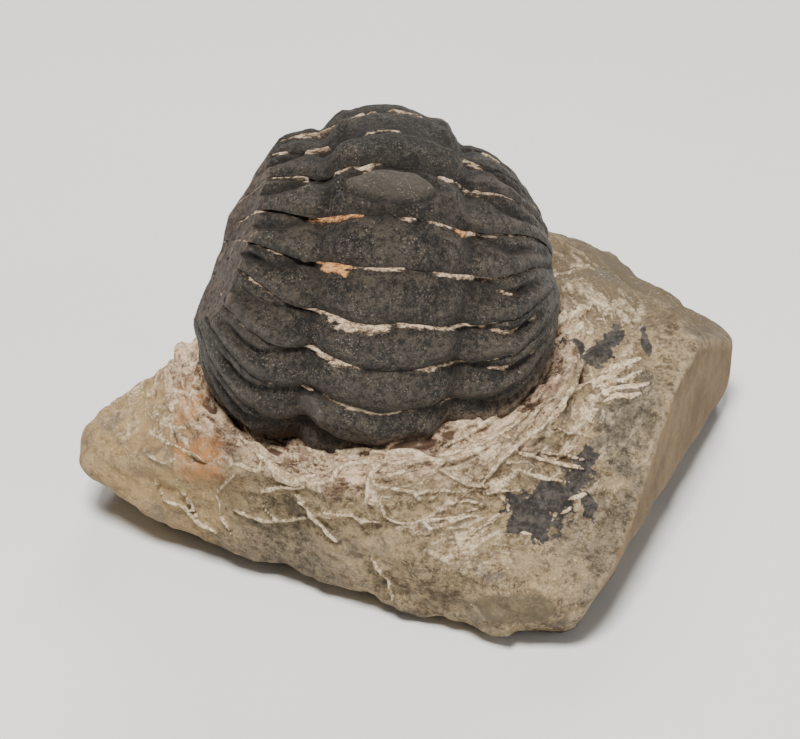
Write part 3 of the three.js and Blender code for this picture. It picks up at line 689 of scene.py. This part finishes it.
head = ramp(148, 156, angle) * ramp(228, 218, angle) * (1 - broken) * off_eye
fossil = closed_piece(
    "phacops_trilobite",
    fossil_grid,
    fossil_grid[:, 0].mean(0),
    fossil_grid[:, -1].mean(0),
    {
        "cream": cream, "orange": orange, "hollow_shade": hollow_shade, "broken": broken,
        "earth": earth, "crest": crest, "scar": scar, "head": head,
    },
)


def attribute(name, vector=False):
    """A point attribute of the piece."""
    node = add("Attribute", attribute_name=name)
    return node.outputs["Vector" if vector else "Fac"]


def noise(place, size, detail=3.0, roughness=0.55, distortion=0.0):
    """Noise from 0 to 1 whose largest features are about size mm across; place is in mm."""
    inputs = {"Vector": place, "Scale": 1.0 / size, "Detail": detail}
    inputs |= {"Roughness": roughness, "Distortion": distortion}
    return add("TexNoise", inputs).outputs["Fac"]


def level(value, low, high, to_low=0.0, to_high=1.0):
    """An S curve of a value between two levels."""
    inputs = {"Value": value, "From Min": low, "From Max": high, "To Min": to_low, "To Max": to_high}
    return add("MapRange", inputs, interpolation_type="SMOOTHSTEP").outputs["Result"]


def sum_of(*terms):
    """Sum of (value, factor) pairs."""
    total = 0.0
    for value, factor in terms:
        total = add("Math", {0: value, 1: factor, 2: total}, operation="MULTIPLY_ADD").outputs[0]
    return total


def product(first, *others):
    """Product of two or more values."""
    for other in others:
        first = add("Math", {0: first, 1: other}, operation="MULTIPLY").outputs[0]
    return first


def greater(first, second):
    """The greater of two values."""
    return add("Math", {0: first, 1: second}, operation="MAXIMUM").outputs[0]


def layer(under, over, *amounts):
    """One colour laid over another by an amount from 0 to 1, or by the product of several."""
    inputs = {0: product(*amounts), 6: under, 7: over}
    return add("Mix", inputs, data_type="RGBA").outputs[2]


def in_mm():
    """Places in mm from the middle of the rolled fossil."""
    place = add("TexCoord").outputs["Object"]
    inputs = {0: place, 1: (1000, 1000, 1000), 2: tuple(-BALL)}
    return add("VectorMath", inputs, operation="MULTIPLY_ADD").outputs[0]


def spot(place, middle, radii, turn=0.0, ragged=0.5, size=1.6, soft=0.08):
    """1 inside an ellipsoid, turned about the vertical by an angle in degrees, with a torn edge."""
    inputs = {"Vector": place, "Location": middle, "Rotation": (0, 0, np.radians(turn)), "Scale": radii}
    local = add("Mapping", inputs, vector_type="TEXTURE").outputs[0]
    reach = add("VectorMath", {0: local}, operation="LENGTH").outputs["Value"]
    torn = sum_of((reach, 1.0), (noise(place, size, 4.0, 0.65), 2.6 * ragged), (ragged, -1.3))
    return level(torn, 1.0 + soft, 1.0 - soft)


def scaled(vector, factors):
    """A vector times factors by axis."""
    return add("VectorMath", {0: vector, 1: factors}, operation="MULTIPLY").outputs[0]


CALCITE_DARK, CALCITE_LIGHT = (0.004, 0.0033, 0.0025, 1), (0.1, 0.08, 0.059, 1)
CALCITE_PAINTED_SHADE = (0.008, 0.0065, 0.005, 1)
SCAR_GREY = (0.15, 0.128, 0.1, 1)
LIGHTER_CREST = (0.12, 0.102, 0.08, 1)
GLINT = (0.42, 0.365, 0.29, 1)
PALE_DOT = (0.34, 0.295, 0.24, 1)
JOINT_PAINTED_SHADE = (0.012, 0.0095, 0.0075, 1)
TORN_DARK, TORN_BROWN, TORN_PALE = (0.014, 0.0095, 0.0065, 1), (0.11, 0.068, 0.042, 1), (0.40, 0.27, 0.175, 1)
EARTH_DARK, EARTH_PALE = (0.05, 0.03, 0.02, 1), (0.24, 0.17, 0.115, 1)
BOSS_GREY = (0.036, 0.033, 0.031, 1)
# painted shade: the colour is darkened on the left flank and on the top of the ball
PAINTED_SHADE_LEFT, PAINTED_SHADE_TOP = 0.34, 0.42  # how much darker the left side and the top are

calcite, tree, shader = finish_of("dark_calcite", 0.55)
place = in_mm()
grain = noise(place, 0.5, 8.0, 0.78)
crystal = noise(place, 0.17, 4.0, 0.7)
patches = noise(place, 4.0, 4.0, 0.6)
tone = level(sum_of((grain, 0.9), (crystal, 0.6), (patches, 0.45)), 0.84, 1.12)
color = layer(CALCITE_DARK, CALCITE_LIGHT, tone)
parts = add("SeparateXYZ", {"Vector": place})
# painted shade on the left flank and the top
left_painted_shade = product(level(parts.outputs["X"], -6.0, -13.0), PAINTED_SHADE_LEFT)
top_painted_shade = product(level(parts.outputs["Z"], 11.5, 15.5), PAINTED_SHADE_TOP)
color = layer(color, CALCITE_PAINTED_SHADE, greater(left_painted_shade, top_painted_shade))
color = layer(color, SCAR_GREY, attribute("scar"), 0.42)
# lighter on the raised back edges of the segments
crest_lightening = product(attribute("crest"), level(grain, 0.4, 0.6, 0.1, 0.6))
color = layer(color, LIGHTER_CREST, crest_lightening)
glints = product(level(crystal, 0.58, 0.66), level(noise(place, 1.8, 3.0), 0.42, 0.6))
color = layer(color, GLINT, glints, 0.8)
dots = add("TexVoronoi", {"Vector": place, "Scale": 1 / 0.6})
dot = level(sum_of((dots.outputs["Distance"], 1.0), (crystal, 0.3)), 0.38, 0.22)
dot = product(dot, level(noise(place, 1.6, 2.0), 0.54, 0.68))
color = layer(color, PALE_DOT, dot, 0.4)
# painted shade in the furrows and joints and under the back edges
color = layer(color, JOINT_PAINTED_SHADE, attribute("hollow_shade"), 0.6)
torn = level(sum_of((attribute("broken"), 1.0), (grain, 0.35)), 0.6, 0.8)
streaks = noise(scaled(place, (1.0, 1.0, 0.35)), 1.1, 7.0, 0.75)
torn_color = layer(TORN_DARK, TORN_BROWN, level(grain, 0.4, 0.62))
torn_color = layer(torn_color, TORN_PALE, level(streaks, 0.56, 0.66, 0.0, 0.75))
color = layer(color, torn_color, torn)
mud = level(sum_of((attribute("earth"), 1.0), (grain, 1.6)), 1.25, 1.7)
mud_color = layer(EARTH_DARK, EARTH_PALE, level(grain, 0.4, 0.6))
color = layer(color, mud_color, mud, 0.75)
boss = spot(place, (-5.9, -15.3, -2.3), (1.3, 1.3, 1.2), 0.0, 0.3, 1.5, 0.3)
color = layer(color, BOSS_GREY, boss, 0.75)
fibres = noise(scaled(place, (0.3, 1.0, 1.0)), 0.5, 8.0, 0.85)
chalk = sum_of((crystal, 0.35), (fibres, 0.65))
fibres = sum_of((fibres, 3.6), (0.5, -3.6))
for name, rim, dull, bright in (
    ("cream", (0.12, 0.065, 0.035, 1), (0.32, 0.18, 0.09, 1), (1.0, 0.80, 0.56, 1)),
    ("orange", (0.12, 0.03, 0.012, 1), (0.40, 0.12, 0.03, 1), (1.0, 0.55, 0.22, 1)),
):
    fill = sum_of((attribute(name), 0.85), (fibres, 1.0))
    fill_color = layer(dull, bright, level(chalk, 0.42, 0.57))
    fill_color = layer(rim, fill_color, level(fill, 0.4, 0.8))
    inside = level(attribute(name), 0.08, 0.2)
    color = layer(color, fill_color, inside, level(fill, 0.34, 0.46))
tree.links.new(color, shader.inputs["Base Color"])
wart_cells = add("TexVoronoi", {"Vector": place, "Scale": 1 / 1.25, "Randomness": 0.75})
warts = product(level(wart_cells.outputs["Distance"], 0.42, 0.1), attribute("head"))
relief = sum_of((grain, 1.0), (crystal, 0.4), (dot, 0.2), (warts, 1.1))
strength = level(boss, 0.2, 0.8, 1.0, 0.45)
bump = add("Bump", {"Height": relief, "Distance": 0.55 * METRE, "Strength": strength})
tree.links.new(bump.outputs["Normal"], shader.inputs["Normal"])
tree.links.new(level(grain, 0.3, 0.7, 0.66, 0.46), shader.inputs["Roughness"])
fossil.data.materials.append(calcite)
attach(fossil, "root")
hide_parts("trilobite")


# The right eye is a steep bank of round lenses in upright files, of clean calcite, standing out from its
# socket. The left one went where that side broke off.
LENS_RADIUS = 0.38
LENS_STANDS_OUT = 0.1
LENS_DARK, LENS_LIGHT = (0.022, 0.018, 0.014, 1), (0.1, 0.078, 0.056, 1)
LENS_FILES = np.linspace(-72, 72, 15)  # degrees round the eye from its outer side
LENS_ROWS = (0.54, 0.66, 0.78, 0.9)  # shares of the way from the eye's top to its socket


def head_surface(angle, side):
    """A point of the head without its fine grain."""
    return body(angle + sweep(angle, side), side, head_relief(angle, side))


def lens_dome(center, normal):
    """Points of one lens: four rings of ten and a top point, on a flattened half ball."""
    across = unit(np.cross(normal, (0.3, 0.2, 0.9)))
    along = np.cross(normal, across)
    tilt = np.radians([[96], [68], [42], [18]])
    turn = np.radians(np.arange(0, 360, 36))[None]
    ring = np.sin(tilt)[..., None] * (np.cos(turn)[..., None] * across + np.sin(turn)[..., None] * along)
    dome = (ring + 0.75 * np.cos(tilt)[..., None] * normal).reshape(-1, 3)
    return center + LENS_RADIUS * np.concatenate([dome, 0.75 * normal[None]])


ring_of_ten = np.arange(10)
lens_faces = []
for row in range(3):
    low, high = row * 10, row * 10 + 10
    lens_faces += [(low + k, low + (k + 1) % 10, high + (k + 1) % 10, high + k) for k in ring_of_ten]
lens_faces += [(30 + k, 30 + (k + 1) % 10, 40) for k in ring_of_ten]
points, faces = [], []
for k, bearing in enumerate(np.radians(LENS_FILES)):
    for share in LENS_ROWS:
        share = share + (0.05 if k % 2 else 0)
        a = EYE_ANGLE + EYE_LONG * share * np.sin(bearing)
        b = EYE_SIDE + EYE_WIDE * share * np.cos(bearing)
        center = head_surface(a, b)
        ahead = head_surface(a + 0.3, b) - center
        sideways = head_surface(a, b + 0.004) - center
        normal = unit(np.cross(ahead, sideways))
        normal = normal * np.sign(normal @ center)
        faces += [tuple(41 * len(points) + v for v in face) for face in lens_faces]
        points.append(lens_dome(center + LENS_STANDS_OUT * normal, normal))
lens_mesh = bpy.data.meshes.new("right_eye_lenses")
lens_mesh.from_pydata((np.concatenate(points) + BALL) * METRE, [], faces)
lens_mesh.shade_smooth()
lens_calcite, tree, shader = finish_of("lens_calcite", 0.45)
place = in_mm()
clean = level(noise(place, 0.7, 4.0, 0.6), 0.35, 0.65)
color = layer(LENS_DARK, LENS_LIGHT, clean)
tree.links.new(color, shader.inputs["Base Color"])
lens_mesh.materials.append(lens_calcite)
lenses = in_scene("right_eye_lenses", lens_mesh)
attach(lenses, "root")
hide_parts("trilobite")


# The limestone's finish: olive brown where it is worn, greyer in patches, warm on the left, with a net of
# cream lines where the scribe bruised it, rust, brown pockets, painted shade in dark brown in the hollows,
# and dark scraps of other shells.
def net(round_ball, long, high, width, seed):
    """1 on the lines between cells of a stretched random net, long by high mm, with lines of uneven width."""
    stretched = scaled(round_ball, (1 / long, 1 / high, 0.6 / high))
    warp = add("TexNoise", {"Vector": stretched, "Scale": 0.8, "Detail": 3.0}).outputs["Color"]
    inputs = {0: warp, 1: (0.55, 0.55, 0.55), 2: stretched}
    warped = add("VectorMath", inputs, operation="MULTIPLY_ADD").outputs[0]
    warped = add("VectorMath", {0: warped, 1: (seed,) * 3}, operation="ADD").outputs[0]
    cells = add("TexVoronoi", {"Vector": warped, "Scale": 1.0}, feature="DISTANCE_TO_EDGE")
    uneven = noise(round_ball, 1.0, 6.0, 0.75)
    line = sum_of((cells.outputs["Distance"], 1.0), (uneven, -4.0 * width), (width, 1.6))
    return level(line, 0.5 * width, -0.1 * width)


STONE_DARK, STONE_LIGHT = (0.07, 0.046, 0.022, 1), (0.46, 0.342, 0.19, 1)
WARM_LEFT = (0.46, 0.305, 0.135, 1)
SHADED_BACK = (0.135, 0.1, 0.056, 1)
GREY_PATCH = (0.135, 0.115, 0.092, 1)
PALE_FLECK = (0.62, 0.54, 0.42, 1)
GRANULAR_DARK, GRANULAR_LIGHT = (0.045, 0.036, 0.025, 1), (0.21, 0.17, 0.12, 1)
FACET_BROWN = (0.135, 0.105, 0.06, 1)
BRUISE_DARK, BRUISE_LIGHT = (0.06, 0.026, 0.011, 1), (0.86, 0.62, 0.42, 1)
SCOOP_DARK, SCOOP_LIGHT = (0.05, 0.021, 0.011, 1), (0.24, 0.155, 0.095, 1)
RUST = (0.58, 0.235, 0.06, 1)
HOLLOW_PAINTED_SHADE = (0.06, 0.024, 0.011, 1)
LINE_DULL, LINE_BRIGHT = (0.38, 0.255, 0.135, 1), (1.0, 0.82, 0.58, 1)
SCRAP_DARK, SCRAP_LIGHT = (0.020, 0.018, 0.017, 1), (0.105, 0.09, 0.08, 1)
SPLIT_SHADED_DARK, SPLIT_SHADED_LIGHT = (0.14, 0.087, 0.037, 1), (0.232, 0.152, 0.071, 1)
EDGE_PALE = (0.50, 0.40, 0.27, 1)

limestone, tree, shader = finish_of("limestone", 0.85)
place = in_mm()
round_ball = attribute("around", True)
parts = add("SeparateXYZ", {"Vector": place})
away = add("SeparateXYZ", {"Vector": round_ball}).outputs["Y"]
grain = noise(place, 0.8, 9.0, 0.78)
speck = noise(place, 0.25, 4.0, 0.7)
patches = noise(place, 6.0, 6.0, 0.66)
smears = noise(scaled(round_ball, (0.3, 1.0, 1.0)), 1.6, 7.0, 0.7)
tone = level(sum_of((grain, 0.8), (patches, 0.5), (smears, 0.35), (speck, 0.3)), 0.81, 1.12)
color = layer(STONE_DARK, STONE_LIGHT, tone)
left = level(parts.outputs["X"], -8.0, -20.0)
color = layer(color, WARM_LEFT, left, level(grain, 0.2, 0.75, 0.25, 0.8))
behind = product(level(parts.outputs["Y"], 2.0, 8.0), level(parts.outputs["X"], 0.0, 8.0))
color = layer(color, SHADED_BACK, behind, 0.88)
greyer = level(noise(scaled(place, (1.0, 1.0, 1.6)), 5.0, 4.0, 0.6, 0.4), 0.52, 0.64)
color = layer(color, GREY_PATCH, greyer, 0.6)
flecks = product(level(speck, 0.58, 0.66), level(patches, 0.35, 0.55))
color = layer(color, PALE_FLECK, flecks, 0.7)
mixed_grain = sum_of((grain, 0.7), (speck, 0.3))
granular = layer(GRANULAR_DARK, GRANULAR_LIGHT, level(mixed_grain, 0.4, 0.6))
for middle, radii, turn, soft, amount in (
    ((22.3, -8.0, -8.0), (2.8, 6.8, 3.5), -14.0, 0.25, 0.9),
    ((21.0, -19.5, -13.5), (4.0, 6.5, 5.0), 0.0, 0.4, 0.75),
    ((-8.0, -15.5, -17.0), (7.0, 4.0, 3.2), 0.0, 0.4, 0.6),
):
    grey = spot(place, middle, radii, turn, 1.0, 2.2, soft)
    color = layer(color, granular, grey, amount)
facet = spot(place, (12.0, -24.4, -17.0), (3.6, 3.0, 1.6), 0.0, 0.35, 2.5, 0.06)
color = layer(color, FACET_BROWN, facet, 0.7)
near_ball = level(sum_of((away, 1.0), (smears, 7.0)), 24.0, 20.5)
near_ball = product(near_ball, attribute("upward"))
scratch = noise(scaled(round_ball, (0.22, 1.0, 1.0)), 1.0, 8.0, 0.75)
scratch = sum_of((scratch, 0.7), (speck, 0.3))
bruised = layer(BRUISE_DARK, BRUISE_LIGHT, level(scratch, 0.415, 0.555))
color = layer(color, bruised, near_ball, 0.92)
scooped = level(noise(scaled(round_ball, (0.45, 1.0, 1.0)), 2.4, 6.0, 0.68), 0.51, 0.6)
scooped_color = layer(SCOOP_DARK, SCOOP_LIGHT, level(scratch, 0.43, 0.56))
color = layer(color, scooped_color, scooped, near_ball, 0.8)
for middle, radii, amount in (
    ((-3.0, -18.6, -8.8), (1.3, 0.7, 1.2), 0.9),
    ((0.9, -18.7, -8.8), (1.1, 0.7, 1.2), 0.9),
    ((-13.1, -12.5, -8.0), (1.5, 2.4, 1.6), 0.75),
    ((5.0, -16.2, -7.4), (4.2, 0.9, 1.4), 0.7),
):
    pocket = spot(place, middle, radii, 0.0, 0.9, 1.4, 0.2)
    color = layer(color, scooped_color, pocket, amount)
zone = level(sum_of((away, 1.0), (noise(place, 4.0, 3.0), 9.0)), 33.0, 25.0)
zone = product(zone, level(attribute("split"), 0.6, 0.2), level(attribute("upward"), 0.05, 0.5))
broad = net(round_ball, 7.0, 1.9, 0.12, 3.0)
broad = product(broad, level(noise(round_ball, 3.0, 3.0), 0.42, 0.55))
fine = net(round_ball, 4.0, 0.85, 0.08, 11.0)
fine = product(fine, level(noise(round_ball, 2.5, 3.0), 0.5, 0.62))
lines = product(greater(broad, product(fine, 0.75)), zone, 0.8)
torn_edge = noise(place, 0.6, 7.0, 0.8)
strands = level(sum_of((attribute("strand"), 1.0), (torn_edge, 2.0)), 1.35, 1.75)
lines = greater(lines, product(strands, 0.8))
ridge_edge = noise(place, 0.5, 6.0, 0.75)
ridge = level(sum_of((attribute("ridge"), 1.0), (ridge_edge, 1.2)), 1.05, 1.4)
lines = greater(lines, ridge)
rust = spot(place, (-15.2, -12.8, -9.6), (3.0, 1.6, 2.0), -35.0, 0.9, 2.2, 0.5)
rust = greater(rust, spot(place, (-16.4, -4.2, -9.2), (1.5, 3.8, 2.0), 0.0, 0.9, 2.2, 0.5))
color = layer(color, RUST, rust, level(grain, 0.35, 0.6, 0.15, 0.9))
# painted shade: dark brown in the hollows near the ball, by their depth
hollow_painted_shade = level(sum_of((attribute("hollow_shade"), 1.0), (grain, 1.4)), 0.98, 1.4)
hollow_painted_shade = product(hollow_painted_shade, level(away, 29.0, 21.0))
color = layer(color, HOLLOW_PAINTED_SHADE, hollow_painted_shade, 0.9)
chalky = sum_of((grain, 0.6), (speck, 0.4))
line_color = layer(LINE_DULL, LINE_BRIGHT, level(chalky, 0.42, 0.58))
color = layer(color, line_color, lines)
for middle, radii, turn in (
    ((13.7, -18.2, -11.6), (2.3, 2.6, 2.0), 20.0),
    ((15.6, -16.4, -11.0), (1.9, 1.9, 2.0), 50.0),
    ((18.2, -13.6, -10.5), (1.2, 2.4, 2.0), -25.0),
    ((18.9, -16.8, -10.7), (0.7, 1.5, 2.0), 20.0),
    ((17.6, -0.3, -6.9), (2.2, 0.75, 1.5), 30.0),
    ((20.6, 0.2, -6.7), (1.0, 2.2, 1.5), -35.0),
    ((21.9, 2.6, -6.7), (1.0, 1.8, 1.5), -15.0),
    ((24.8, 1.7, -6.6), (0.4, 2.2, 1.5), 5.0),
):
    scrap = spot(place, middle, radii, turn, 1.1, 1.2, 0.05)
    scrap_color = layer(SCRAP_DARK, SCRAP_LIGHT, level(grain, 0.4, 0.62))
    color = layer(color, scrap_color, scrap, level(ridge, 1.0, 0.4, 0.0, 0.97))
# The smooth split on the right is darker brown: partly its own colour, partly painted shade of a face turned
# away from the key lamp.
split_tone = sum_of((patches, 0.7), (grain, 0.3))
smooth_split_and_shade = layer(SPLIT_SHADED_DARK, SPLIT_SHADED_LIGHT, level(split_tone, 0.4, 0.62))
color = layer(color, smooth_split_and_shade, attribute("split"), 0.9)
bruise = product(attribute("edge"), level(grain, 0.4, 0.65))
color = layer(color, EDGE_PALE, bruise, 0.4)
tree.links.new(color, shader.inputs["Base Color"])
relief = sum_of((grain, 1.3), (speck, 0.35), (lines, 0.6))
calm = level(attribute("split"), 0.3, 0.9, 0.9, 0.35)
bump = add("Bump", {"Height": relief, "Distance": 0.42 * METRE, "Strength": calm})
tree.links.new(bump.outputs["Normal"], shader.inputs["Normal"])
stone.data.materials.append(limestone)
